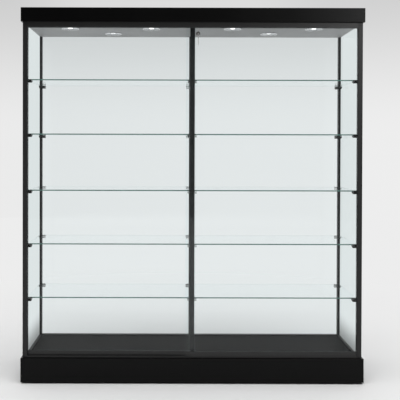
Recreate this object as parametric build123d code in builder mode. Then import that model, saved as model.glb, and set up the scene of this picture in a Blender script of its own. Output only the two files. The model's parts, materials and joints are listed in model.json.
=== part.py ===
from build123d import *
import os

# Rolling display showcase in millimetres, front towards -Y, floor at Z = 0

# Frame, stacked up from the floor
case_width = 1800.0
case_depth = 450.0
base_gap = 8.0
base_height = 127.0
frame_height = 1780.0
canopy_height = 74.0
side_overhang = 8.0
face_overhang = 14.0

# Boards
board = 16.0
canopy_lid = 12.0
deck_thickness = 6.0
ceiling_thickness = 11.0
ceiling_play = 0.3
ceiling_glass_gap = 0.8
board_round = 1.0

# Posts and rails
post = 25.0
post_round = 1.5
bottom_rail_height = 10.0
top_rail_height = 8.0
centre_post_depth = 15.0
centre_post_setback = 27.0
rear_bar_width = 12.0
track_floor = 3.0
top_track_height = 27.5
shoe_groove = 10.25
guide_groove = 8.0

# Fixed glass
pane = 5.0
pane_inset = 9.0
groove_play = 0.3
groove_depth = 6.0
bar_groove_depth = 4.0

# Shelves and their clips
shelf_glass = 6.0
first_shelf = 304.0
second_shelf = 592.0
third_shelf = 880.0
fourth_shelf = 1181.0
fifth_shelf = 1472.0
shelf_setback = 45.0
shelf_depth = 376.0
shelf_side_gap = 4.0
shelf_middle_gap = 4.0
shelf_corner_round = 3.0
clip_reach = 15.0
rear_clip_reach = 23.0
middle_clip_reach = 12.0
clip_height = 13.0
clip_lip = 4.0
clip_length = 38.0
clip_wall = 2.0
clip_slot = 3.0
clip_slot_depth = 4.0
clip_slot_inset = 7.0
slot_play = 0.15
clip_seat = 0.2

# Sliding doors
door_pitch = 11.8
outer_door_width = 910.0
inner_door_width = 890.0
door_top_play = 7.0
shoe_height = 28.5
shoe_clearance = 2.0
shoe_side_play = 0.5
shoe_wall = 2.0
shoe_web = 2.0
glass_play = 0.1
roller_radius = 7.0
roller_width = 4.2
roller_inset = 80.0
roller_pin = 3.0
pin_play = 0.08
seal_thickness = 1.5
seal_width = 6.0
seal_play = 0.3

# Plunger lock on the outer door
lock_inset = 64.0
lock_drop = 61.0
flange_radius = 12.0
flange_thickness = 3.0
flange_bevel = 1.0
plunger_bevel = 0.5
barrel_radius = 9.5
barrel_tail = 4.0
nut_radius = 12.5
nut_thickness = 3.0
plunger_radius = 7.4
plunger_play = 0.08
plunger_stand = 10.0
plug_radius = 5.0
plug_play = 0.06
plug_length = 20.0

# Key, its ring and the spare
key_thickness = 2.0
key_bow_radius = 12.0
key_neck = 2.0
key_blade_width = 7.0
key_blade_length = 24.0
key_cut_depth = 1.6
key_cut_pitch = 4.5
key_cuts = 4
key_play = 0.12
key_hole_radius = 2.5
key_hole_offset = 7.0
ring_radius = 10.0
ring_wire = 0.8
ring_play = 0.5

# Downlights in the canopy
light_pitch = 222.7
light_row_gap = 170.0
bezel_radius = 48.5
bezel_drop = 3.0
lens_radius = 35.0
lens_thickness = 3.0
lens_recess = 2.0
can_radius = 42.0
can_wall = 1.5
can_height = 45.0
can_play = 0.5
rib_thickness = 16.0
rib_light_pitches = 2.5
rib_height = 40.0
gland_radius = 9.0
gland_play = 0.3
gland_bore = 4.0
gland_flange = 13.0
gland_lip = 2.5
gland_tail = 4.0
gland_narrowing = 0.7
gland_inset = 120.0

# Casters inside the base
caster_inset = 120.0
caster_y = 115.0
wheel_radius = 37.5
wheel_width = 25.0
tread_bevel = 4.0
hub_radius = 15.0
hub_recess = 2.5
caster_trail = 30.0
axle_radius = 4.0
axle_play = 0.08
axle_head = 7.0
axle_head_thickness = 4.0
leg_thickness = 2.5
leg_gap = 2.0
leg_boss = 11.0
leg_top = 20.0
crown_radius = 25.0
crown_thickness = 3.0
crown_clearance = 17.0
crown_gap = 0.3
race_radius = 26.0
race_height = 4.0
plate_length = 95.0
plate_width = 67.0
plate_thickness = 3.0
plate_bolt_x = 75.0
plate_bolt_y = 47.0
plate_round = 6.0
bolt_head_radius = 6.5
bolt_head_height = 4.0
kingpin_radius = 5.0
kingpin_play = 0.1
kingpin_head = 9.0
kingpin_head_height = 5.0
block_margin = 12.0

# Heights worked out from the sizes above
base_top = base_gap + base_height
frame_top = base_top + frame_height
canopy_top = frame_top + canopy_height
bottom_rail_top = base_top + bottom_rail_height
top_rail_bottom = frame_top - top_rail_height
top_track_bottom = frame_top - top_track_height
track_bed = base_top + track_floor
deck_top = base_top + deck_thickness
ceiling_bottom = frame_top - ceiling_thickness
base_underside = base_top - board

# Widths worked out from the sizes above
half_width = case_width / 2
inner_x = half_width - post
pane_x = half_width - pane_inset
outer_half_width = half_width + side_overhang
gland_x = half_width - gland_inset
caster_x = half_width - caster_inset
groove = pane + 2 * groove_play
panel_edge = groove_depth - groove_play

# The spare key reaches furthest forward and the lead's gland furthest back; Y = 0 is midway
outer_plane = (post - door_pitch) / 2
inner_plane = (post + door_pitch) / 2
plug_reach = flange_thickness + plunger_stand
bow_reach = plug_reach + key_neck + key_bow_radius
spare_reach = bow_reach + key_hole_offset + key_bow_radius
key_reach = spare_reach - (outer_plane - pane / 2)
gland_reach = face_overhang + gland_lip + gland_tail
front_y = (key_reach - case_depth - gland_reach) / 2
rear_y = front_y + case_depth
middle_y = (front_y + rear_y) / 2
outer_door_y = front_y + outer_plane
inner_door_y = front_y + inner_plane
canopy_front = front_y - face_overhang
canopy_rear = rear_y + face_overhang
rear_pane_y = rear_y - pane_inset

os.makedirs("parts", exist_ok=True)


def keep(piece, name):
    """Names a finished piece and writes its file."""
    piece.part.label = name
    export_step(piece.part, f"parts/{name}.step")


def span(low, high):
    """Middle and length of a stretch."""
    return (low + high) / 2, high - low


def slab(x_range, y_range, z_range, rounding=0.0):
    """A straight board or pane between the limits given, its long edges eased if asked."""
    x, width = span(*x_range)
    y, depth = span(*y_range)
    bottom, top = z_range
    with BuildPart() as made:
        with BuildSketch(Plane.XY.offset(bottom)):
            with Locations((x, y)):
                Rectangle(width, depth)
        extrude(amount=top - bottom)
        if rounding:
            along = Axis.X if width > top - bottom else Axis.Z
            fillet(made.edges().filter_by(along), rounding)
    return made


def join(pieces):
    """Several separate solids as one piece."""
    with BuildPart() as made:
        for piece in pieces:
            add(piece.part)
    return made


def facing(x, y, z, normal, across=(1, 0, 0)):
    """A plane at a point, looking along the normal."""
    return Plane(origin=(x, y, z), x_dir=across, z_dir=normal)


# Base boards round the casters
base_x = (-outer_half_width, outer_half_width)
inside_x = (-outer_half_width + board, outer_half_width - board)
inside_y = (canopy_front + board, canopy_rear - board)
base_z = (base_gap, base_top)
front_board_y = (canopy_front, canopy_front + board)
rear_board_y = (canopy_rear - board, canopy_rear)
keep(slab(base_x, front_board_y, base_z, board_round), "base_front_board")
keep(slab(base_x, rear_board_y, base_z, board_round), "base_rear_board")
left_end_x = (-outer_half_width, -outer_half_width + board)
right_end_x = (outer_half_width - board, outer_half_width)
base_ends = [slab(x, inside_y, base_z) for x in (left_end_x, right_end_x)]
keep(join(base_ends), "base_end_boards")
keep(slab(inside_x, inside_y, (base_underside, base_top)), "base_top_board")

# Deck inside the frame
deck_y = (front_y + post, rear_y - post)
deck_x = (-inner_x, inner_x)
keep(slab(deck_x, deck_y, (base_top, deck_top)), "deck_panel")


def corner_post(side, back):
    """A corner post with its glass grooves and the slot that the shelf clips hook into."""
    y = (rear_y - post / 2) if back else (front_y + post / 2)
    inner_face_y = (rear_y - post) if back else (front_y + post)
    with BuildPart() as made:
        with BuildSketch(Plane.XY.offset(base_top)):
            with Locations((side * (half_width - post / 2), y)):
                Rectangle(post, post)
            with Locations((side * pane_x, inner_face_y)):
                Rectangle(groove, 2 * groove_depth, mode=Mode.SUBTRACT)
            with Locations((side * (inner_x + clip_slot_inset), inner_face_y)):
                Rectangle(clip_slot, 2 * clip_slot_depth, mode=Mode.SUBTRACT)
            if back:
                with Locations((side * inner_x, rear_pane_y)):
                    Rectangle(2 * groove_depth, groove, mode=Mode.SUBTRACT)
        extrude(amount=frame_height)
        outer_edges = made.edges().filter_by(Axis.Z).group_by(Axis.X)[0 if side < 0 else -1]
        fillet(outer_edges, post_round)
    return made


keep(corner_post(-1, False), "front_left_post")
keep(corner_post(1, False), "front_right_post")
keep(corner_post(-1, True), "rear_left_post")
keep(corner_post(1, True), "rear_right_post")


def side_rail(side, bottom, top, opening):
    """A rail between the posts of one side, grooved for the side pane."""
    with BuildPart() as made:
        with BuildSketch(facing(side * (half_width - post / 2), front_y + post, 0, (0, 1, 0))):
            with Locations((0, -(bottom + top) / 2)):
                Rectangle(post, top - bottom)
            with Locations((side * (post / 2 - pane_inset), -opening)):
                Rectangle(groove, 2 * groove_depth, mode=Mode.SUBTRACT)
        extrude(amount=case_depth - 2 * post)
    return made


def rear_rail(bottom, top, opening):
    """The rail between the rear posts, grooved for the rear panes."""
    with BuildPart() as made:
        with BuildSketch(facing(-inner_x, rear_y - post / 2, 0, (1, 0, 0), (0, 1, 0))):
            with Locations((0, (bottom + top) / 2)):
                Rectangle(post, top - bottom)
            with Locations((post / 2 - pane_inset, opening)):
                Rectangle(groove, 2 * groove_depth, mode=Mode.SUBTRACT)
        extrude(amount=2 * inner_x)
    return made


bottom_rails = [side_rail(side, base_top, bottom_rail_top, bottom_rail_top) for side in (-1, 1)]
bottom_rails.append(rear_rail(base_top, bottom_rail_top, bottom_rail_top))
keep(join(bottom_rails), "bottom_rails")
top_rails = [side_rail(side, top_rail_bottom, frame_top, top_rail_bottom) for side in (-1, 1)]
top_rails.append(rear_rail(top_rail_bottom, frame_top, top_rail_bottom))
keep(join(top_rails), "top_rails")


def door_track(bottom, top, opening, groove_width, depth):
    """The double track across the front, its two grooves centred on the door panes."""
    with BuildPart() as made:
        with BuildSketch(facing(-inner_x, front_y, 0, (1, 0, 0), (0, 1, 0))):
            with Locations((post / 2, (bottom + top) / 2)):
                Rectangle(post, top - bottom)
            with Locations((outer_plane, opening), (inner_plane, opening)):
                Rectangle(groove_width, 2 * depth, mode=Mode.SUBTRACT)
        extrude(amount=2 * inner_x)
    return made


bottom_depth = bottom_rail_top - track_bed
bottom_track = door_track(base_top, bottom_rail_top, bottom_rail_top, shoe_groove, bottom_depth)
keep(bottom_track, "front_bottom_track")
top_depth = top_track_height - track_floor
top_track = door_track(top_track_bottom, frame_top, top_track_bottom, guide_groove, top_depth)
keep(top_track, "front_top_track")

# Post behind the doors, between the deck and the ceiling
centre_post_y = (front_y + centre_post_setback, front_y + centre_post_setback + centre_post_depth)
centre_post_x = (-post / 2, post / 2)
keep(slab(centre_post_x, centre_post_y, (deck_top, ceiling_bottom), board_round), "front_centre_post")

# Bar that joins the two rear panes
with BuildPart() as rear_centre_bar:
    with BuildSketch(Plane.XY.offset(bottom_rail_top)):
        with Locations((0, rear_y - post / 2)):
            Rectangle(rear_bar_width, post)
        with Locations((-rear_bar_width / 2, rear_pane_y), (rear_bar_width / 2, rear_pane_y)):
            Rectangle(2 * bar_groove_depth, groove, mode=Mode.SUBTRACT)
    extrude(amount=top_rail_bottom - bottom_rail_top)
keep(rear_centre_bar, "rear_centre_bar")

# Fixed panes, held in the grooves all round
pane_z = (bottom_rail_top - panel_edge, top_rail_bottom + panel_edge)
side_pane_y = (front_y + post - panel_edge, rear_y - post + panel_edge)
left_pane_x = (-pane_x - pane / 2, -pane_x + pane / 2)
right_pane_x = (pane_x - pane / 2, pane_x + pane / 2)
keep(slab(left_pane_x, side_pane_y, pane_z), "left_side_pane")
keep(slab(right_pane_x, side_pane_y, pane_z), "right_side_pane")
rear_pane_range = (rear_pane_y - pane / 2, rear_pane_y + pane / 2)
pane_middle_edge = rear_bar_width / 2 - bar_groove_depth + groove_play
keep(slab((-inner_x - panel_edge, -pane_middle_edge), rear_pane_range, pane_z), "rear_left_pane")
keep(slab((pane_middle_edge, inner_x + panel_edge), rear_pane_range, pane_z), "rear_right_pane")

# Glass shelves, two to a level
shelf_front = front_y + shelf_setback
shelf_rear = shelf_front + shelf_depth
shelf_outer_x = pane_x - pane / 2 - shelf_side_gap
shelf_inner_x = shelf_middle_gap / 2


shelf_heights = [first_shelf, second_shelf, third_shelf, fourth_shelf, fifth_shelf]
shelf_levels = len(shelf_heights)


def shelf_bottom(level):
    """Height of a shelf's underside; shelf heights run from the deck to the middle of the glass."""
    return deck_top + shelf_heights[level] - shelf_glass / 2


def shelf(side, level):
    """One shelf with polished, slightly rounded corners."""
    x, width = span(shelf_inner_x, shelf_outer_x)
    y, depth = span(shelf_front, shelf_rear)
    with BuildPart() as made:
        with BuildSketch(Plane.XY.offset(shelf_bottom(level))):
            with Locations((side * x, y)):
                RectangleRounded(width, depth, shelf_corner_round)
        extrude(amount=shelf_glass)
    return made


for level in range(shelf_levels):
    keep(join([shelf(-1, level), shelf(1, level)]), f"shelf_pair_{level + 1}")


def clip_profile(face_y, inward, edge_y):
    """Side view of a clip: hooked on at the face, low under the shelf, with a lip before its edge."""
    lip_y = edge_y - inward * clip_seat
    tip_y = face_y + inward * clip_length
    return [
        (face_y, -clip_height),
        (face_y + inward * clip_length / 2, -clip_height),
        (tip_y, -clip_height / 2),
        (tip_y, -clip_seat),
        (lip_y, -clip_seat),
        (lip_y, clip_lip),
        (face_y, clip_lip),
    ]


def shelf_clip(x_range, face_y, inward, edge_y, level, hook_x=None):
    """A moulded clip under the shelf, from a post's face, with its hook in the post's slot."""
    low, high = x_range
    bottom = shelf_bottom(level)
    with BuildPart() as made:
        with BuildSketch(facing(low, 0, bottom, (1, 0, 0), (0, 1, 0))):
            Polygon(*clip_profile(face_y, inward, edge_y), align=None)
        extrude(amount=high - low)
        if hook_x is not None:
            hook = clip_slot_depth - slot_play
            with BuildSketch(Plane.XY.offset(bottom - clip_height + clip_wall)):
                with Locations((hook_x, face_y - inward * hook / 2)):
                    Rectangle(clip_slot - 2 * slot_play, hook)
            extrude(amount=clip_height - 2 * clip_wall)
    return made


corner_clips = []
centre_clips = []
clip_outer_x = half_width - pane_inset - groove / 2 - clip_wall
middle_clip_x = (-post / 2 - middle_clip_reach, post / 2 + middle_clip_reach)
for level in range(shelf_levels):
    for side in (-1, 1):
        front_x = sorted((side * (inner_x - clip_reach), side * clip_outer_x))
        rear_x = sorted((side * (inner_x - rear_clip_reach), side * clip_outer_x))
        hook_x = side * (inner_x + clip_slot_inset)
        corner_clips.append(shelf_clip(front_x, front_y + post, 1, shelf_front, level, hook_x))
        corner_clips.append(shelf_clip(rear_x, rear_y - post, -1, shelf_rear, level, hook_x))
    centre_clips.append(shelf_clip(middle_clip_x, centre_post_y[1], 1, shelf_front, level))
    centre_clips.append(shelf_clip(middle_clip_x, rear_y - post, -1, shelf_rear, level))
keep(join(corner_clips), "corner_shelf_clips")
keep(join(centre_clips), "centre_shelf_clips")

# Canopy boards standing on the frame
canopy_z = (frame_top, canopy_top)
keep(slab(base_x, front_board_y, canopy_z, board_round), "canopy_front_board")
gland_z = (frame_top + canopy_top) / 2
with BuildPart() as canopy_rear_board:
    add(slab(base_x, rear_board_y, canopy_z, board_round).part)
    with BuildSketch(facing(gland_x, canopy_rear, gland_z, (0, 1, 0))):
        Circle(gland_radius + gland_play)
    extrude(amount=-board, mode=Mode.SUBTRACT)
keep(canopy_rear_board, "canopy_rear_board")
canopy_ends = [slab(x, inside_y, canopy_z) for x in (left_end_x, right_end_x)]
keep(join(canopy_ends), "canopy_end_boards")
keep(slab(inside_x, inside_y, (canopy_top - canopy_lid, canopy_top)), "canopy_top_board")

# Two rows of downlights, staggered
light_spots = []
for step in (-3, -1, 1, 3):
    light_spots.append((step * light_pitch, middle_y - light_row_gap / 2))
for step in (-2, 2):
    light_spots.append((step * light_pitch, middle_y + light_row_gap / 2))

# Ceiling board with the holes for the lights; its thin lip runs on under the rails to the glass
between_posts = case_depth - 2 * (post + ceiling_play)
ceiling_front = middle_y - between_posts / 2
lip_x = pane_x - pane / 2 - ceiling_glass_gap
lip_rear = rear_pane_y - pane / 2 - ceiling_glass_gap
with BuildPart() as ceiling_board:
    with BuildSketch(Plane.XY.offset(ceiling_bottom)):
        with Locations((0, middle_y)):
            Rectangle(2 * (inner_x - ceiling_play), between_posts)
    extrude(amount=ceiling_thickness)
    with BuildSketch(Plane.XY.offset(ceiling_bottom)):
        with Locations((0, middle_y)):
            Rectangle(2 * lip_x, between_posts)
        with Locations((0, (ceiling_front + lip_rear) / 2)):
            Rectangle(2 * (inner_x - ceiling_play), lip_rear - ceiling_front)
        with Locations((0, rear_y - post / 2)):
            Rectangle(rear_bar_width + 2 * ceiling_play, post + 2 * ceiling_play, mode=Mode.SUBTRACT)
    extrude(amount=top_rail_bottom - ceiling_bottom - ceiling_play)
    with BuildSketch(Plane.XY.offset(ceiling_bottom)):
        with Locations(*light_spots):
            Circle(can_radius + can_play)
    extrude(amount=ceiling_thickness, mode=Mode.SUBTRACT)
keep(ceiling_board, "ceiling_board")


def turned(spot, base_z, profile):
    """A ring or cup turned about the upright axis through a light's spot."""
    x, y = spot
    with BuildPart() as made:
        with BuildSketch(facing(x, y, base_z, (0, -1, 0))):
            Polygon(*profile, align=None)
        revolve(axis=Axis((x, y, 0), (0, 0, 1)))
    return made


def turned_level(x, y, z, profile):
    """A piece turned about the front-to-back axis through a point: radii, then distances along it."""
    with BuildPart() as made:
        with BuildSketch(facing(x, y, z, (0, 0, 1))):
            Polygon(*profile, align=None)
        revolve(axis=Axis((x, y, z), (0, 1, 0)))
    return made


# Bezel: flat seat against the ceiling, sloping rim, short collar up to the lens
bezel_profile = [
    (lens_radius, 0),
    (lens_radius, -bezel_drop / 2),
    (lens_radius + bezel_drop, -bezel_drop),
    (bezel_radius - bezel_drop, -bezel_drop),
    (bezel_radius, 0),
]
# Can: a cup open downwards, with its own rim on the bezel
can_inner = can_radius - can_wall
can_profile = [
    (can_inner, 0),
    (can_radius, 0),
    (can_radius, can_height),
    (0, can_height),
    (0, can_height - can_wall),
    (can_inner, can_height - can_wall),
]
lens_profile = [
    (0, lens_recess),
    (can_inner - can_play, lens_recess),
    (can_inner - can_play, lens_recess + lens_thickness),
    (0, lens_recess + lens_thickness),
]
keep(join([turned(spot, ceiling_bottom, bezel_profile) for spot in light_spots]), "downlight_bezels")
keep(join([turned(spot, ceiling_bottom, can_profile) for spot in light_spots]), "downlight_cans")
keep(join([turned(spot, ceiling_bottom, lens_profile) for spot in light_spots]), "downlight_lenses")

# Ribs across the canopy, on the frame's rails and clear of the lights
rib_z = (frame_top, frame_top + rib_height)
rib_spacing = rib_light_pitches * light_pitch
ribs = []
for step in (-1, 0, 1):
    x = step * rib_spacing
    ribs.append(slab((x - rib_thickness / 2, x + rib_thickness / 2), inside_y, rib_z))
keep(join(ribs), "canopy_ribs")

# Gland for the lead: shank through the canopy's rear board, flange on it, tapered neck outside
gland_end = gland_lip + gland_tail
gland_profile = [
    (gland_bore, -board),
    (gland_radius, -board),
    (gland_radius, 0),
    (gland_flange, 0),
    (gland_flange, gland_lip),
    (gland_radius, gland_lip),
    (gland_radius - gland_narrowing, gland_end),
    (gland_bore, gland_end),
]
keep(turned_level(gland_x, canopy_rear, gland_z, gland_profile), "cable_gland")

# Doors: closed edges meet the seals, and the far edges overlap behind the lock
seal_edge = inner_x - seal_thickness - seal_play
outer_door_x = (seal_edge - outer_door_width, seal_edge)
inner_door_x = (-seal_edge, -seal_edge + inner_door_width)
shoe_bottom = track_bed + shoe_clearance
shoe_top = shoe_bottom + shoe_height
shoe_width = shoe_groove - 2 * shoe_side_play
roller_z = track_bed + roller_radius
chamber_top = roller_z + roller_radius + shoe_clearance
glass_bottom = chamber_top + shoe_web + glass_play
glass_top = frame_top - track_floor - door_top_play
channel = pane + 2 * glass_play
lock_x = outer_door_x[0] + lock_inset
lock_z = frame_top - lock_drop

# Seals on the corner posts, one in each door's plane
seal_z = (bottom_rail_top, top_track_bottom)
outer_seal_y = (outer_door_y - seal_width / 2, outer_door_y + seal_width / 2)
inner_seal_y = (inner_door_y - seal_width / 2, inner_door_y + seal_width / 2)
door_seals = [
    slab((inner_x - seal_thickness, inner_x), outer_seal_y, seal_z),
    slab((-inner_x, -inner_x + seal_thickness), inner_seal_y, seal_z),
]
keep(join(door_seals), "door_seals")


def roller_spots(x_range):
    """Where a door's two rollers stand along it."""
    return x_range[0] + roller_inset, x_range[1] - roller_inset


def door_shoe(x_range, y):
    """The shoe along a door's foot: channel for the glass above, roller chamber below, pins across."""
    low, high = x_range
    with BuildPart() as made:
        with BuildSketch(facing(low, y, 0, (1, 0, 0), (0, 1, 0))):
            with Locations((0, (shoe_bottom + shoe_top) / 2)):
                Rectangle(shoe_width, shoe_height)
            with Locations((0, (glass_bottom - glass_play + shoe_top) / 2)):
                Rectangle(channel, shoe_top - glass_bottom + glass_play, mode=Mode.SUBTRACT)
            with Locations((0, (shoe_bottom + chamber_top) / 2)):
                Rectangle(shoe_width - 2 * shoe_wall, chamber_top - shoe_bottom, mode=Mode.SUBTRACT)
        extrude(amount=high - low)
        for x in roller_spots(x_range):
            with BuildSketch(facing(x, y - shoe_width / 2 + shoe_wall / 2, roller_z, (0, 1, 0))):
                Circle(roller_pin / 2)
            extrude(amount=shoe_width - shoe_wall)
    return made


def roller(x, y):
    """A nylon roller on its pin."""
    with BuildPart() as made:
        with BuildSketch(facing(x, y - roller_width / 2, roller_z, (0, 1, 0))):
            Circle(roller_radius)
            Circle(roller_pin / 2 + pin_play, mode=Mode.SUBTRACT)
        extrude(amount=roller_width)
    return made


# Outer door, drilled for the lock
with BuildPart() as outer_door_glass:
    with BuildSketch(Plane.XY.offset(glass_bottom)):
        with Locations((sum(outer_door_x) / 2, outer_door_y)):
            Rectangle(outer_door_width, pane)
    extrude(amount=glass_top - glass_bottom)
    with BuildSketch(facing(lock_x, outer_door_y - pane / 2, lock_z, (0, 1, 0))):
        Circle(barrel_radius + groove_play)
    extrude(amount=pane, mode=Mode.SUBTRACT)
keep(outer_door_glass, "outer_door_glass")
inner_glass_y = (inner_door_y - pane / 2, inner_door_y + pane / 2)
keep(slab(inner_door_x, inner_glass_y, (glass_bottom, glass_top)), "inner_door_glass")
keep(door_shoe(outer_door_x, outer_door_y), "outer_door_shoe")
keep(door_shoe(inner_door_x, inner_door_y), "inner_door_shoe")
doors = {"outer": (outer_door_x, outer_door_y), "inner": (inner_door_x, inner_door_y)}
for door, (x_range, y) in doors.items():
    for end, x in zip(("left", "right"), roller_spots(x_range)):
        keep(roller(x, y), f"{door}_{end}_roller")

# Lock housing, clamped through the glass by its nut
glass_front = outer_door_y - pane / 2
glass_rear = outer_door_y + pane / 2
flange_front = glass_front - flange_thickness
plunger_front = flange_front - plunger_stand
plunger_rear = glass_rear + barrel_tail
into_case = (0, 1, 0)
with BuildPart() as lock_barrel:
    with BuildSketch(facing(lock_x, flange_front, lock_z, into_case)):
        Circle(flange_radius)
    extrude(amount=flange_thickness)
    rim = lock_barrel.edges().filter_by(GeomType.CIRCLE).sort_by(Axis.Y)[0]
    chamfer(rim, flange_bevel)
    with BuildSketch(facing(lock_x, glass_front, lock_z, into_case)):
        Circle(barrel_radius)
    extrude(amount=pane + barrel_tail)
    with BuildSketch(facing(lock_x, flange_front, lock_z, into_case)):
        Circle(plunger_radius + plunger_play)
    extrude(amount=flange_thickness + pane + barrel_tail, mode=Mode.SUBTRACT)

with BuildPart() as lock_nut:
    with BuildSketch(facing(lock_x, glass_rear, lock_z, into_case)):
        RegularPolygon(nut_radius, 6)
        Circle(barrel_radius + plunger_play, mode=Mode.SUBTRACT)
    extrude(amount=nut_thickness)
keep(join([lock_barrel, lock_nut]), "lock_housing")

with BuildPart() as lock_plunger:
    with BuildSketch(facing(lock_x, plunger_front, lock_z, into_case)):
        Circle(plunger_radius)
    extrude(amount=plunger_rear - plunger_front)
    chamfer(lock_plunger.edges().filter_by(GeomType.CIRCLE), plunger_bevel)
    with BuildSketch(facing(lock_x, plunger_front, lock_z, into_case)):
        Circle(plug_radius + plug_play)
    extrude(amount=plug_length + plug_play, mode=Mode.SUBTRACT)
keep(lock_plunger, "lock_plunger")

# Plug that the key turns, with its keyway
with BuildPart() as lock_plug:
    with BuildSketch(facing(lock_x, plunger_front, lock_z, into_case)):
        Circle(plug_radius)
    extrude(amount=plug_length)
    with BuildSketch(facing(lock_x, plunger_front, lock_z, into_case)):
        Rectangle(key_thickness + 2 * key_play, key_blade_width + 2 * key_play)
    extrude(amount=plug_length - key_neck, mode=Mode.SUBTRACT)
keep(lock_plug, "lock_plug")


def key_outline(tip):
    """Blade profile from the bow to the tip, cut along one edge, drawn along +X."""
    half = key_blade_width / 2
    points = [(0, half), (tip - half, half), (tip, 0), (tip - half, -half)]
    for cut in range(key_cuts):
        x = tip - half - cut * key_cut_pitch - key_cut_pitch / 2
        points.append((x + key_cut_depth, -half))
        points.append((x, -half + key_cut_depth))
        points.append((x - key_cut_depth, -half))
    points.append((0, -half))
    return points


def key(plane, tip):
    """A flat key lying in the plane, its bow centred there and its blade along the plane's X."""
    with BuildPart() as made:
        with BuildSketch(plane):
            Circle(key_bow_radius)
            Polygon(*key_outline(tip), align=None)
            with Locations((-key_hole_offset, 0)):
                Circle(key_hole_radius, mode=Mode.SUBTRACT)
        extrude(amount=key_thickness / 2, both=True)
    return made


bow_y = plunger_front - key_neck - key_bow_radius
hole_y = bow_y - key_hole_offset
plug_depth = plug_length - key_neck - key_play
lock_key = key(facing(lock_x, bow_y, lock_z, (1, 0, 0), (0, 1, 0)), key_bow_radius + key_neck + plug_depth)
keep(lock_key, "lock_key")

# Flat-wound ring through the key's hole, hanging square to it
ring_drop = key_hole_radius - ring_wire - ring_play
ring_top = lock_z - ring_drop
ring_z = ring_top - ring_radius
with BuildPart() as key_ring:
    with BuildSketch(facing(lock_x, hole_y - ring_wire, ring_z, (0, 1, 0))):
        Circle(ring_radius + ring_wire)
        Circle(ring_radius - ring_wire, mode=Mode.SUBTRACT)
    extrude(amount=2 * ring_wire)
spare_hole_z = ring_z - ring_radius - ring_drop
spare_bow_z = spare_hole_z - key_hole_offset
spare_tip = key_bow_radius + key_blade_length
spare_key = key(facing(lock_x, hole_y, spare_bow_z, (1, 0, 0), (0, 0, -1)), spare_tip)
keep(join([key_ring, spare_key]), "spare_key_on_ring")

# Caster heights, from the floor up to the base's underside
crown_bottom = 2 * wheel_radius + crown_clearance
crown_top = crown_bottom + crown_thickness
race_bottom = crown_top + crown_gap
plate_bottom = race_bottom + race_height
plate_top = plate_bottom + plate_thickness
fork_half = wheel_width / 2 + leg_gap
axle_half = fork_half + leg_thickness


def caster_plate(x, y):
    """Fixed part of a caster: plate, ball race, kingpin with its head, and the plate's bolts."""
    with BuildPart() as made:
        with BuildSketch(Plane.XY.offset(plate_bottom)):
            with Locations((x, y)):
                RectangleRounded(plate_length, plate_width, plate_round)
        extrude(amount=plate_thickness)
        with BuildSketch(Plane.XY.offset(race_bottom)):
            with Locations((x, y)):
                Circle(race_radius)
        extrude(amount=race_height)
        with BuildSketch(Plane.XY.offset(crown_bottom - crown_gap)):
            with Locations((x, y)):
                Circle(kingpin_radius)
        extrude(amount=race_bottom - crown_bottom + crown_gap)
        with BuildSketch(Plane.XY.offset(crown_bottom - crown_gap - kingpin_head_height)):
            with Locations((x, y)):
                Circle(kingpin_head)
        extrude(amount=kingpin_head_height)
        with BuildSketch(Plane.XY.offset(plate_bottom - bolt_head_height)):
            with Locations((x, y)):
                with GridLocations(plate_bolt_x, plate_bolt_y, 2, 2):
                    RegularPolygon(bolt_head_radius, 6)
        extrude(amount=bolt_head_height)
    return made


def caster_fork(x, y):
    """Swivelling part of a caster: crown, two legs down to the wheel, and the axle bolt."""
    axle_x = x - caster_trail
    boss_low = wheel_radius - leg_boss
    with BuildPart() as made:
        with BuildSketch(Plane.XY.offset(crown_bottom)):
            with Locations((x, y)):
                Circle(crown_radius)
                Circle(kingpin_radius + kingpin_play, mode=Mode.SUBTRACT)
        extrude(amount=crown_thickness)
        for side in (-1, 1):
            outer = y + side * axle_half
            with BuildSketch(facing(0, outer, 0, (0, -side, 0))):
                flip = 1 if side > 0 else -1
                leg_points = [
                    (x - leg_top, flip * crown_top),
                    (x + leg_top, flip * crown_top),
                    (x + leg_top, flip * crown_bottom),
                    (axle_x + leg_boss, flip * wheel_radius),
                    (axle_x, flip * boss_low),
                    (axle_x - leg_boss, flip * wheel_radius),
                ]
                Polygon(*leg_points, align=None)
                with Locations((axle_x, flip * wheel_radius)):
                    Circle(leg_boss)
            extrude(amount=leg_thickness)
        with BuildSketch(facing(axle_x, y - axle_half, wheel_radius, (0, 1, 0))):
            Circle(axle_radius)
        extrude(amount=2 * axle_half)
        for side in (-1, 1):
            with BuildSketch(facing(axle_x, y + side * axle_half, wheel_radius, (0, side, 0))):
                RegularPolygon(axle_head, 6)
            extrude(amount=axle_head_thickness)
    return made


def caster_wheel(x, y):
    """A wheel with a rounded tread and a raised hub."""
    half = wheel_width / 2
    recess = half - hub_recess
    rim_radius = wheel_radius - 2 * tread_bevel
    shoulder = wheel_radius - tread_bevel
    bore = axle_radius + axle_play
    one_side = [
        (bore, half),
        (hub_radius, half),
        (hub_radius, recess),
        (rim_radius, recess),
        (rim_radius, half),
        (shoulder, half),
        (wheel_radius, half - tread_bevel),
    ]
    other_side = [(radius, -along) for radius, along in reversed(one_side)]
    return turned_level(x - caster_trail, y, wheel_radius, one_side + other_side)


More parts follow.
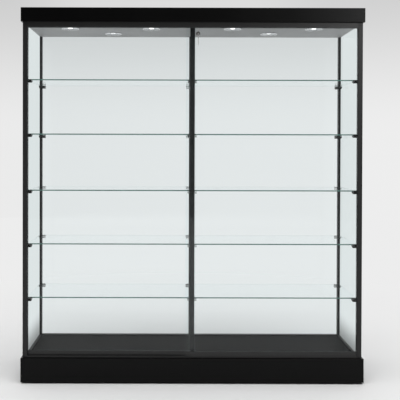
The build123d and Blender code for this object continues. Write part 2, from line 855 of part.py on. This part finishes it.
# Four swivel casters under blocks in the base's corners
corners = {
    "front_left": (-caster_x, middle_y - caster_y),
    "front_right": (caster_x, middle_y - caster_y),
    "rear_left": (-caster_x, middle_y + caster_y),
    "rear_right": (caster_x, middle_y + caster_y),
}
block_half_x = plate_length / 2 + block_margin
block_half_y = plate_width / 2 + block_margin
blocks = []
for x, y in corners.values():
    x_range = (x - block_half_x, x + block_half_x)
    y_range = (y - block_half_y, y + block_half_y)
    blocks.append(slab(x_range, y_range, (plate_top, base_underside)))
keep(join(blocks), "caster_blocks")
keep(join([caster_plate(x, y) for x, y in corners.values()]), "caster_plates")
for corner, (x, y) in corners.items():
    keep(caster_fork(x, y), f"{corner}_caster_fork")
    keep(caster_wheel(x, y), f"{corner}_caster_wheel")
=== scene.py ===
import json
import math

import bpy
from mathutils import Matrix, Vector


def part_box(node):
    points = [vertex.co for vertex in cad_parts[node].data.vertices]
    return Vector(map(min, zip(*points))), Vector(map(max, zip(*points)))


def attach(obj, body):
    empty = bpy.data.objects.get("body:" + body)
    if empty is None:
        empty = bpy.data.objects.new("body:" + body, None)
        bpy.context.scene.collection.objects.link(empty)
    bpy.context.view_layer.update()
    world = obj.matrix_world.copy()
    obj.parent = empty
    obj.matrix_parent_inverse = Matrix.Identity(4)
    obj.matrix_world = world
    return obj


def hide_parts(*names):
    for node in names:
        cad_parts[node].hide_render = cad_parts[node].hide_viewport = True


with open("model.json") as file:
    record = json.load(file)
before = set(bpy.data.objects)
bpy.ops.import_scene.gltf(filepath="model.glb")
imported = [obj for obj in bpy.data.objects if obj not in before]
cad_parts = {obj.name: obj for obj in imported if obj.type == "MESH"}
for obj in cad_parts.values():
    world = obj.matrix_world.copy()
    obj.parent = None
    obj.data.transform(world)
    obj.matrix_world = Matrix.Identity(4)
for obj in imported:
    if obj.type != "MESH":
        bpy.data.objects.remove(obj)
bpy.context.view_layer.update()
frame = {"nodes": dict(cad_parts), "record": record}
nodes = frame["nodes"]


def paint(level, tint=(1.0, 1.0, 1.0)):
    """A colour of that level, tinted."""
    return tuple(level * share for share in tint) + (1.0,)


white = paint(1.0)


class Value:
    """A number in a node tree, so that a sum on it is written as a sum."""

    def __init__(self, tree, socket):
        self.tree = tree
        self.socket = socket

    def __add__(self, other):
        return self.tree.maths("ADD", self, other)

    __radd__ = __add__

    def __sub__(self, other):
        return self.tree.maths("SUBTRACT", self, other)

    def __rsub__(self, other):
        return self.tree.maths("SUBTRACT", other, self)

    def __mul__(self, other):
        return self.tree.maths("MULTIPLY", self, other)

    __rmul__ = __mul__

    def __pow__(self, other):
        return self.tree.maths("POWER", self, other)

    def __gt__(self, other):
        return self.tree.maths("GREATER_THAN", self, other)

    def __lt__(self, other):
        return self.tree.maths("LESS_THAN", self, other)

    def size(self):
        """The number without its sign."""
        return self.tree.maths("ABSOLUTE", self)


class Tree:
    """A node tree, with one way to add a node and short words for the common ones."""

    def __init__(self, tree):
        self.tree = tree
        tree.nodes.clear()

    def node(self, kind, settings=None, inputs=None):
        """A node of that type: its settings first, then its sockets' values or links."""
        made = self.tree.nodes.new(kind)
        for name, setting in (settings or {}).items():
            if name == "stops":
                self.set_stops(made.color_ramp, setting)
            else:
                setattr(made, name, setting)
        for name, value in (inputs or {}).items():
            self.feed(made.inputs[name], value)
        return made

    def feed(self, socket, value):
        """Gives a socket its value, or its link."""
        if isinstance(value, Value):
            value = value.socket
        if isinstance(value, bpy.types.NodeSocket):
            self.tree.links.new(value, socket)
        else:
            socket.default_value = value

    def set_stops(self, ramp, stops):
        """A colour ramp's stops: place and colour."""
        while len(ramp.elements) < len(stops):
            ramp.elements.new(1.0)
        for element, (place, colour) in zip(ramp.elements, stops):
            element.position = place
            element.color = colour

    def maths(self, operation, *values, clamp=False):
        """One Math node on numbers or values."""
        settings = {"operation": operation, "use_clamp": clamp}
        made = self.node("ShaderNodeMath", settings, dict(enumerate(values)))
        return Value(self, made.outputs[0])

    def clamped(self, value):
        """The value held between 0 and 1."""
        return self.maths("ADD", value, 0.0, clamp=True)

    def smooth(self, value, low, high):
        """0 below low, 1 above high, smooth between."""
        made = self.node(
            "ShaderNodeMapRange",
            {"interpolation_type": "SMOOTHSTEP"},
            {"Value": value, "From Min": low, "From Max": high},
        )
        return Value(self, made.outputs[0])

    def parts(self, vector):
        """A vector's three numbers."""
        made = self.node("ShaderNodeSeparateXYZ", None, {0: vector})
        return [Value(self, socket) for socket in made.outputs]

    def ramp(self, value, *stops):
        """A colour that follows a value through the stops."""
        made = self.node("ShaderNodeValToRGB", {"stops": stops}, {"Fac": value})
        return made.outputs["Color"]

    def mix(self, factor, first, second):
        """A colour between two, by a factor."""
        made = self.node("ShaderNodeMix", {"data_type": "RGBA"}, {0: factor, 6: first, 7: second})
        return made.outputs[2]

    def blend(self, factor, first, second):
        """A shader between two, by a factor."""
        made = self.node("ShaderNodeMixShader", None, {0: factor, 1: first, 2: second})
        return made.outputs[0]

    def glow(self, colour):
        """A shader that gives off an even colour."""
        made = self.node("ShaderNodeEmission", None, {"Color": colour, "Strength": 1.0})
        return made.outputs[0]

    def surroundings(self, level):
        """White surroundings of that level."""
        made = self.node("ShaderNodeBackground", None, {"Color": white, "Strength": level})
        return made.outputs[0]


class Finish(Tree):
    """A surface finish: a material with its own nodes, on Object coordinates in metres."""

    def __init__(self, name):
        self.material = bpy.data.materials.new(name)
        self.material.use_nodes = True
        super().__init__(self.material.node_tree)
        coordinates = self.node("ShaderNodeTexCoord").outputs
        self.place = coordinates["Object"]
        self.normal = coordinates["Normal"]
        self.x, self.y, self.z = self.parts(self.place)

    def noise(self, scale, detail=3.0, roughness=0.5, stretch=(1, 1, 1)):
        """Cloudy noise, drawn out along an axis where its stretch is less than 1."""
        drawn = self.node("ShaderNodeVectorMath", {"operation": "MULTIPLY"}, {0: self.place, 1: stretch})
        inputs = {"Vector": drawn.outputs[0], "Scale": scale, "Detail": detail, "Roughness": roughness}
        return Value(self, self.node("ShaderNodeTexNoise", None, inputs).outputs["Fac"])

    def cells(self, scale, feature="F1"):
        """How far each spot lies from the middle of its cell, in a random mosaic."""
        made = self.node("ShaderNodeTexVoronoi", {"feature": feature}, {"Vector": self.place, "Scale": scale})
        return Value(self, made.outputs["Distance"])

    def patches(self, scale):
        """A random mosaic whose cells each have one level of their own."""
        mosaic = self.node("ShaderNodeTexVoronoi", {"feature": "F1"}, {"Vector": self.place, "Scale": scale})
        levels = self.node("ShaderNodeSeparateColor", None, {0: mosaic.outputs["Color"]})
        return Value(self, levels.outputs[0])

    def relief(self, height, depth, strength):
        """A normal from a height of 0 to 1 and its depth in metres."""
        inputs = {"Height": height, "Distance": depth, "Strength": strength}
        return self.node("ShaderNodeBump", None, inputs).outputs["Normal"]

    def slope(self, blend):
        """0 where the surface is seen face on, 1 where it is seen edge on."""
        made = self.node("ShaderNodeLayerWeight", None, {"Blend": blend})
        return Value(self, made.outputs["Facing"])

    def see_through(self, tint):
        """A shader that lets light through and tints it."""
        made = self.node("ShaderNodeBsdfTransparent", None, {"Color": paint(1.0, tint)})
        return made.outputs[0]

    def surface(self, **sockets):
        """The main shader, its sockets named with underscores."""
        inputs = {name.replace("_", " "): value for name, value in sockets.items()}
        return self.node("ShaderNodeBsdfPrincipled", None, inputs).outputs["BSDF"]

    def finish(self, shader):
        """Ends the tree with that shader and gives its material."""
        self.node("ShaderNodeOutputMaterial", None, {"Surface": shader})
        return self.material


class Builder(Tree):
    """A Geometry Nodes group with named inputs, run once and kept as a plain mesh."""

    around = 72
    corner_points = 4
    crease = 0.6

    def __init__(self, name):
        self.name = name
        self.group = bpy.data.node_groups.new(name, "GeometryNodeTree")
        super().__init__(self.group)
        self.group.interface.new_socket("Geometry", in_out="OUTPUT", socket_type="NodeSocketGeometry")
        self.entry = self.node("NodeGroupInput")
        self.values = {}

    def given(self, name, value):
        """A named input of the group, with the value it gets on this piece."""
        kind = "NodeSocketInt" if isinstance(value, int) else "NodeSocketFloat"
        socket = self.group.interface.new_socket(name, in_out="INPUT", socket_type=kind)
        self.values[socket.identifier] = value
        return Value(self, self.entry.outputs[name])

    def vector(self, x, y, z):
        """A vector from three numbers or values."""
        return self.node("ShaderNodeCombineXYZ", None, {0: x, 1: y, 2: z}).outputs[0]

    def joined(self, *shapes):
        """Several shapes as one."""
        made = self.node("GeometryNodeJoinGeometry")
        for shape in shapes:
            self.tree.links.new(shape, made.inputs[0])
        return made.outputs[0]

    def moved(self, shape, place, scale=(1, 1, 1)):
        """A shape scaled about the origin, then moved."""
        inputs = {"Geometry": shape, "Translation": place, "Scale": scale}
        return self.node("GeometryNodeTransform", None, inputs).outputs[0]

    def ring(self, inner, outer, thickness, rounding):
        """A flat ring with rounded edges, about the origin."""
        path = self.node(
            "GeometryNodeCurvePrimitiveCircle",
            None,
            {"Resolution": self.around, "Radius": 0.5 * (inner + outer)},
        )
        outline = self.node(
            "GeometryNodeCurvePrimitiveQuadrilateral",
            None,
            {"Width": outer - inner, "Height": thickness},
        )
        rounded = self.node(
            "GeometryNodeFilletCurve",
            {"mode": "POLY"},
            {"Curve": outline.outputs[0], "Count": self.corner_points, "Radius": rounding},
        )
        swept = self.node(
            "GeometryNodeCurveToMesh",
            None,
            {"Curve": path.outputs[0], "Profile Curve": rounded.outputs[0]},
        )
        return swept.outputs[0]

    def row(self, count, start, step):
        """Points in a row."""
        inputs = {"Count": count, "Start Location": start, "Offset": step}
        return self.node("GeometryNodeMeshLine", None, inputs).outputs[0]

    def at_points(self, points, shape):
        """The shape set on every point."""
        inputs = {"Points": points, "Instance": shape}
        return self.node("GeometryNodeInstanceOnPoints", None, inputs).outputs[0]

    def smoothed(self, shape):
        """Smooth faces, kept sharp where two meet at more than the crease angle."""
        bend = Value(self, self.node("GeometryNodeInputMeshEdgeAngle").outputs[0])
        soft = self.node("GeometryNodeSetShadeSmooth", {"domain": "FACE"}, {"Geometry": shape})
        sharp = self.node(
            "GeometryNodeSetShadeSmooth",
            {"domain": "EDGE"},
            {"Geometry": soft.outputs[0], "Selection": bend > self.crease, "Shade Smooth": False},
        )
        return sharp.outputs[0]

    def build(self, shape, material):
        """Runs the group once and keeps its result as a plain mesh in an object of its own."""
        settled = self.node("GeometryNodeRealizeInstances", None, {0: shape})
        coated = self.node(
            "GeometryNodeSetMaterial", None, {"Geometry": settled.outputs[0], "Material": material}
        )
        self.node("NodeGroupOutput", None, {0: coated.outputs[0]})
        holder = bpy.data.objects.new(self.name, bpy.data.meshes.new(self.name + "_start"))
        bpy.context.scene.collection.objects.link(holder)
        modifier = holder.modifiers.new("shape", "NODES")
        modifier.node_group = self.group
        for identifier, value in self.values.items():
            modifier[identifier] = value
        evaluated = holder.evaluated_get(bpy.context.evaluated_depsgraph_get())
        mesh = bpy.data.meshes.new_from_object(evaluated)
        holder.modifiers.remove(modifier)
        holder.data = mesh
        return holder


# Boards: how wide an edge-band seam shows to each side, and how deep the grain is
seam_half_width = 0.00035
pebble_depth = 0.00003
flake_depth = 0.0003


def laminate(name, level, tint, roughness, specular, seams=()):
    """Melamine-faced board: fine pebbled grain, faint smudges, and edge-band seams at set heights."""
    made = Finish(name)
    pebbles = made.cells(620, "SMOOTH_F1")
    smudges = made.noise(5, 4, 0.6)
    fine = made.noise(240, 2)
    colour = made.mix(smudges, paint(level * 0.75, tint), paint(level * 1.3, tint))
    if seams:
        seam = sum((made.z - height).size() < seam_half_width for height in seams)
        colour = made.mix(seam, colour, paint(level * 0.4, tint))
    shader = made.surface(
        Base_Color=colour,
        Roughness=made.clamped(roughness + 0.10 * (smudges - 0.5) + 0.06 * (fine - 0.5)),
        Normal=made.relief(pebbles, pebble_depth, 0.15),
        Specular_IOR_Level=specular,
    )
    return made.finish(shader)


def particle_board(name):
    """Raw chipboard: pressed flakes in several browns."""
    made = Finish(name)
    mixed = 0.65 * made.patches(260) + 0.35 * made.noise(420, 4, 0.7)
    tone = made.ramp(
        mixed,
        (0.15, (0.16, 0.09, 0.045, 1)),
        (0.5, (0.34, 0.21, 0.11, 1)),
        (0.85, (0.52, 0.36, 0.21, 1)),
    )
    shader = made.surface(Base_Color=tone, Roughness=0.85, Normal=made.relief(mixed, flake_depth, 0.6))
    return made.finish(shader)


# Frame, mouldings and metal: how deep their lines, grain and scratches are
line_depth = 0.00003
fine_grain = 0.00004
coarse_grain = 0.00008
scratch_depth = 0.00002
frame_roughness = 0.36
scratch_stretch = (1, 0.08, 0.3)


def drawn_frame(name, level, stretch, specular=0.35):
    """Black anodised extrusion: drawing lines along its length, rubbed a little paler in places."""
    made = Finish(name)
    lines = made.noise(900, 2, 0.6, stretch)
    rubs = made.smooth(made.noise(14, 5, 0.65), 0.56, 0.78)
    shader = made.surface(
        Base_Color=made.mix(0.5 * lines + 0.35 * rubs, paint(level * 0.8), paint(level * 1.6)),
        Roughness=made.clamped(frame_roughness + 0.14 * (lines - 0.5) + 0.05 * rubs),
        Normal=made.relief(lines, line_depth, 0.4),
        Specular_IOR_Level=specular,
    )
    return made.finish(shader)


def moulded(name, colour, roughness, grain=fine_grain):
    """Moulded plastic or rubber with a spark-eroded grain."""
    made = Finish(name)
    cloudy = made.noise(60, 3)
    shader = made.surface(
        Base_Color=made.mix(cloudy, paint(0.85, colour), paint(1.15, colour)),
        Roughness=made.clamped(roughness + 0.12 * (cloudy - 0.5)),
        Normal=made.relief(made.cells(1400), grain, 0.5),
        Specular_IOR_Level=0.4,
    )
    return made.finish(shader)


def bare_metal(name, colour, roughness, spangle=0.0):
    """Plated metal with fine scratches, and a spangle where it is zinc."""
    made = Finish(name)
    scratches = made.noise(1500, 2, 0.7, scratch_stretch)
    patches = made.patches(90)
    shine = 0.4 * scratches + 0.6 * patches
    shader = made.surface(
        Base_Color=made.mix(shine, paint(0.82 - spangle, colour), paint(1.0, colour)),
        Metallic=1.0,
        Roughness=made.clamped(roughness + 0.12 * (scratches - 0.5) + 0.15 * spangle * patches),
        Normal=made.relief(scratches, scratch_depth, 0.4),
    )
    return made.finish(shader)


# Glass: its tints, how much it mirrors face on, and how much green an edge away from the front shows
clear_tint = (0.981, 0.993, 0.994)
green_edge = (0.15, 0.27, 0.24)
glass_mirror = 0.010
hidden_edge = 0.05

# Where an edge counts as at the front: metres ahead of the case's middle
front_begins = 0.10
front_full = 0.15

# Painted sheen on the side panes, a pale glow standing in for reflection: a darker foot of painted shade that
# rises into its full colour
painted_sheen_colour = paint(1.0, (0.75, 0.79, 0.79))
painted_shade_foot_colour = paint(1.0, (0.26, 0.27, 0.27))
painted_shade_foot_height = 0.13
painted_sheen_full_height = 0.30


def glass(name, faces, grazing=1.0, painted_sheen=0.0):
    """Float glass: clear through its faces and green along its front edges.

    Its faces look along axis number faces. Seen edge on, they mirror by the grazing share, and a
    painted sheen glows pale over them: a painted reflection, darker at its foot as painted shade.
    """
    made = Finish(name)
    facing = [part.size() for part in made.parts(made.normal)]
    forward = made.smooth(facing[1], 0.3, 0.7) * made.smooth(0 - made.y, front_begins, front_full)
    green = hidden_edge + (1 - hidden_edge) * forward
    on_edge = (1 - made.smooth(facing[faces], 0.55, 0.85)) * green
    slope = made.slope(0.5)
    mirror = made.clamped(glass_mirror + (grazing - glass_mirror) * slope**5)
    wiped = made.smooth(made.noise(9, 5, 0.6), 0.5, 0.9)
    mirrored = made.node(
        "ShaderNodeBsdfGlossy", None, {"Color": white, "Roughness": made.clamped(0.004 + 0.03 * wiped)}
    )
    face = made.blend(mirror, made.see_through(clear_tint), mirrored.outputs[0])
    # Painted sheen: a pale glow over the faces seen edge on stands in for reflection, darker towards the foot
    # as painted shade
    if painted_sheen:
        height = made.smooth(made.z, painted_shade_foot_height, painted_sheen_full_height)
        painted_sheen_glow = made.blend(height, made.glow(painted_shade_foot_colour), made.glow(painted_sheen_colour))
        face = made.blend(made.clamped(painted_sheen * slope**8), face, painted_sheen_glow)
    streaks = made.noise(35, 3, 0.6)
    ground_edge = made.surface(
        Base_Color=made.mix(streaks, paint(0.8, green_edge), paint(1.2, green_edge)),
        Roughness=0.22,
        IOR=1.5,
        Specular_IOR_Level=0.2,
    )
    return made.finish(made.blend(on_edge, face, ground_edge))


flow_depth = 0.00005
prism_depth = 0.0006


def clear_plastic(name, tint):
    """Clear moulding: lets most of the light through, with a grey sheen and flow lines."""
    made = Finish(name)
    flow = made.noise(130, 3, 0.6)
    skin = made.surface(
        Base_Color=made.mix(flow, paint(0.55), paint(0.75)),
        Roughness=made.clamped(0.16 + 0.1 * flow),
        Normal=made.relief(flow, flow_depth, 0.4),
        IOR=1.49,
    )
    share = made.clamped(0.12 + 0.5 * made.slope(0.35) + 0.08 * flow)
    return made.finish(made.blend(share, made.see_through(tint), skin))


def lamp_face(name, strength, front_row, rear_row):
    """The lit face of a downlight: prismatic, and brighter in the front row than in the rear one."""
    made = Finish(name)
    prisms = made.cells(160)
    back = made.smooth(made.y, front_row, rear_row)
    shader = made.surface(
        Base_Color=made.mix(prisms, paint(0.7), paint(0.85)),
        Roughness=0.3,
        Normal=made.relief(prisms, prism_depth, 0.5),
        Emission_Color=made.mix(back, paint(1.0, (1.0, 0.98, 0.95)), paint(0.30)),
        Emission_Strength=strength,
    )
    return made.finish(shader)


# Finishes for the carried-over pieces, by slot
edge_band = 0.0012
canopy_low, canopy_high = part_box("canopy_front_board")
base_low, base_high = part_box("base_front_board")
board_seams = [
    canopy_low.z + edge_band,
    canopy_high.z - edge_band,
    base_low.z + edge_band,
    base_high.z - edge_band,
]
lens_low, lens_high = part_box("downlight_lenses")
along_x = (0.02, 1, 1)
along_z = (1, 1, 0.02)
along_both = (0.02, 0.02, 1)

finishes = {
    "black_board": laminate(
        "black_laminate", level=0.0016, tint=(1, 1, 1), roughness=0.33, specular=0.13, seams=board_seams
    ),
    "deck_board": laminate(
        "deck_laminate", level=0.010, tint=(1.0, 0.99, 0.98), roughness=0.45, specular=0.014
    ),
    "ceiling_laminate": laminate(
        "ceiling_laminate", level=0.36, tint=(1.0, 0.98, 0.99), roughness=0.5, specular=0.3
    ),
    "raw_board": particle_board("raw_chipboard"),
    "black_frame": drawn_frame("black_upright_frame", level=0.022, stretch=along_z, specular=0.24),
    "black_clips": moulded("black_clip_plastic", (0.012, 0.012, 0.012), roughness=0.42),
    "clear_clips": clear_plastic("clear_clip_plastic", tint=(0.93, 0.95, 0.94)),
    "lamp_chrome": bare_metal("lamp_chrome", (0.72, 0.72, 0.73), roughness=0.16),
    "lamp_lens": lamp_face("lit_lens", strength=1.6, front_row=lens_low.y, rear_row=lens_high.y),
    "lamp_can": bare_metal("pressed_can", (0.55, 0.55, 0.56), roughness=0.4, spangle=0.15),
    "seal_rubber": moulded("door_seal_rubber", (0.015, 0.015, 0.015), roughness=0.7),
    "nylon": moulded("roller_nylon", (0.62, 0.60, 0.54), roughness=0.45),
    "lock_chrome": bare_metal("lock_chrome", (0.70, 0.70, 0.71), roughness=0.14),
    "key_metal": bare_metal("key_nickel", (0.56, 0.55, 0.52), roughness=0.24),
    "caster_zinc": bare_metal("caster_zinc", (0.52, 0.54, 0.56), roughness=0.36, spangle=0.3),
    "caster_tread": moulded("caster_tread_rubber", (0.09, 0.09, 0.095), roughness=0.62, grain=coarse_grain),
}
frame_across = drawn_frame("black_cross_frame", level=0.024, stretch=along_x)
frame_rails = drawn_frame("black_rail_frame", level=0.022, stretch=along_both)
# The side panes get the painted sheen: a pale glow at grazing angles, with painted shade at its foot
side_glass = glass("clear_side_glass", faces=0, painted_sheen=8.0)
upright_glass = glass("clear_rear_glass", faces=1)
level_glass = glass("clear_shelf_glass", faces=2, grazing=0.5)

cross_pieces = ("front_bottom_track", "front_top_track", "outer_door_shoe", "inner_door_shoe")
rail_pieces = ("bottom_rails", "top_rails")
slots = {part["node"]: part["material_slot"] for part in frame["record"]["subparts"]}


def finish_for(name):
    """The finish of a carried-over piece, from its slot, and from its name where one slot has several."""
    slot = slots[name]
    if slot == "clear_glass":
        return side_glass if "side" in name else upright_glass
    if slot == "shelf_glass":
        return level_glass
    if name in cross_pieces:
        return frame_across
    if name in rail_pieces:
        return frame_rails
    return finishes[slot]


for name, piece in nodes.items():
    piece.data.materials.clear()
    piece.data.materials.append(finish_for(name))


# Downlights: a rounded trim ring, a tilting ring, a faceted reflector and a lit bulb in each
trim_low, trim_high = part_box("downlight_bezels")
bezel_radius = 0.0485
lamp_pitch = (trim_high.x - bezel_radius) / 3
front_row_y = trim_low.y + bezel_radius
rear_row_y = trim_high.y - bezel_radius


def lamp_places(made):
    """The six lamps' centres at ceiling height: four in front, two behind and between them."""
    pitch = made.given("Lamp Pitch", lamp_pitch)
    front = made.given("Front Row", front_row_y)
    rear = made.given("Rear Row", rear_row_y)
    height = made.given("Ceiling Height", trim_high.z)
    front_row = made.row(4, made.vector(-3 * pitch, front, height), made.vector(2 * pitch, 0.0, 0.0))
    rear_row = made.row(2, made.vector(-2 * pitch, rear, height), made.vector(4 * pitch, 0.0, 0.0))
    return made.joined(front_row, rear_row)


rims = Builder("downlight_rims")
rim_radius = rims.given("Rim Radius", bezel_radius)
rim_width = rims.given("Rim Width", 0.0075)
rim_depth = rims.given("Rim Depth", 0.0030)
rim_rounding = rims.given("Rim Rounding", 0.0011)
tilt_radius = rims.given("Tilting Ring Radius", 0.0385)
tilt_width = rims.given("Tilting Ring Width", 0.0070)
tilt_depth = rims.given("Tilting Ring Depth", 0.0024)
tilt_rounding = rims.given("Tilting Ring Rounding", 0.0009)
bulb_radius = rims.given("Bulb Radius", 0.0140)
reflector_depth = rims.given("Reflector Depth", 0.0040)
facets = rims.given("Facets", 18)
trim_ring = rims.moved(
    rims.ring(rim_radius - rim_width, rim_radius, rim_depth, rim_rounding),
    rims.vector(0.0, 0.0, -0.5 * rim_depth),
)
tilting_ring = rims.ring(tilt_radius - tilt_width, tilt_radius, tilt_depth, tilt_rounding)
reflector = rims.node(
    "GeometryNodeMeshCone",
    {"fill_type": "NONE"},
    {
        "Vertices": facets,
        "Side Segments": 3,
        "Radius Top": bulb_radius,
        "Radius Bottom": tilt_radius - tilt_width,
        "Depth": reflector_depth,
    },
)
one_rim = rims.joined(rims.smoothed(rims.joined(trim_ring, tilting_ring)), reflector.outputs["Mesh"])
downlight_rims = rims.build(rims.at_points(lamp_places(rims), one_rim), finishes["lamp_chrome"])
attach(downlight_rims, "case")
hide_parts("downlight_bezels")

bulbs = Builder("downlight_bulbs")
face_radius = bulbs.given("Face Radius", 0.0135)
face_drop = bulbs.given("Face Drop", 0.0024)
face_rise = bulbs.given("Face Rise", 0.001)
dome = bulbs.node("GeometryNodeMeshUVSphere", None, {"Segments": 48, "Rings": 16, "Radius": 1.0})
one_bulb = bulbs.moved(
    dome.outputs["Mesh"],
    bulbs.vector(0.0, 0.0, face_rise),
    bulbs.vector(face_radius, face_radius, face_drop),
)
bulb_places = bulbs.at_points(lamp_places(bulbs), bulbs.smoothed(one_bulb))
downlight_bulbs = bulbs.build(bulb_places, finishes["lamp_lens"])
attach(downlight_bulbs, "case")
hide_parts("downlight_lenses")


# Studio ground: shadows near the case, and from the fade outwards an even pale glow
ground_radius = 9.0
fade_begins = 0.8
fade_full = 3.1
bpy.ops.mesh.primitive_circle_add(vertices=96, radius=ground_radius, fill_type="NGON")
ground = bpy.context.object
ground.name = "studio_ground"
made = Finish("studio_ground")
near_ground = made.surface(Base_Color=made.mix(made.noise(1.2, 2), paint(0.68), paint(0.71)), Roughness=0.9)
away = made.maths("SQRT", made.x**2 + made.y**2)
fade = made.smooth(away, fade_begins, fade_full)
ground.data.materials.append(made.finish(made.blend(fade, near_ground, made.glow(paint(0.845)))))

# Surroundings: one level to the camera and through glass, one in mirrors, and one as light
pale_level = 0.85
world = bpy.data.worlds.new("studio_surroundings")
bpy.context.scene.world = world
world.use_nodes = True
air = Tree(world.node_tree)
ray = air.node("ShaderNodeLightPath").outputs
east, north, up = air.parts(air.node("ShaderNodeTexCoord").outputs["Generated"])
darker_up = 0.25 * air.smooth(up, 0.02, 0.26)
darker_west = 0.022 * air.smooth(0 - east, -0.2, 0.3)
over_case = air.smooth(up, 0.17, 0.20) * (1 - air.smooth(east.size(), 0.10, 0.24))
backdrop = air.surroundings(pale_level - darker_up - darker_west + 0.085 * over_case)
behind_camera = air.smooth(0 - north, 0.25, 0.8)
to_the_right = air.smooth(east, 0.1, 0.6)
low_wall = 1 - air.smooth(up, 0.11, 0.18)
darker_behind = behind_camera * (0.82 - 0.32 * to_the_right - 0.16 * low_wall)
mirrored = air.surroundings(pale_level - darker_behind)
lighting = air.surroundings(0.08 + 3.7 * air.smooth(up, 0.72, 1.0))
indirect = air.blend(ray["Is Glossy Ray"], lighting, mirrored)
direct_view = air.clamped(Value(air, ray["Is Camera Ray"]) + Value(air, ray["Is Transmission Ray"]))
sky = air.blend(direct_view, indirect, backdrop)
air.node("ShaderNodeOutputWorld", None, {"Surface": sky})


def soft_panel(name, place, aim, width, height, watts, mirrored):
    """A soft rectangular lamp that points at a spot, and either lights or shows only in mirrors."""
    lamp = bpy.data.lights.new(name, "AREA")
    lamp.shape = "RECTANGLE"
    lamp.size = width
    lamp.size_y = height
    lamp.energy = watts
    panel = bpy.data.objects.new(name, lamp)
    panel.location = place
    panel.rotation_euler = (Vector(aim) - Vector(place)).to_track_quat("-Z", "Y").to_euler()
    panel.visible_camera = False
    panel.visible_glossy = mirrored
    panel.visible_diffuse = not mirrored
    bpy.context.scene.collection.objects.link(panel)


soft_panel(
    "overhead_panel",
    place=(0.2, -1.3, 4.2),
    aim=(0, -0.2, 0),
    width=3.2,
    height=2.4,
    watts=62,
    mirrored=False,
)
soft_panel(
    "right_panel",
    place=(3.4, -5.4, 3.2),
    aim=(0.6, 0, 1.2),
    width=1.6,
    height=1.6,
    watts=95,
    mirrored=True,
)

# Camera at the photograph's viewing angle: the shift frames the case, with a hair of tilt and roll
tilt = math.radians(89.5)
roll = math.radians(-0.15)
camera_data = bpy.data.cameras.new("studio_camera")
camera_data.sensor_width = 36.0
camera_data.lens = 62.8
camera_data.shift_x = 0.079
camera_data.shift_y = -0.115
camera = bpy.data.objects.new("studio_camera", camera_data)
camera.location = (-0.128, -3.910, 1.2496)
camera.rotation_euler = (tilt, roll, 0)
bpy.context.scene.collection.objects.link(camera)
bpy.context.scene.camera = camera
bpy.context.scene.view_settings.view_transform = "Standard"
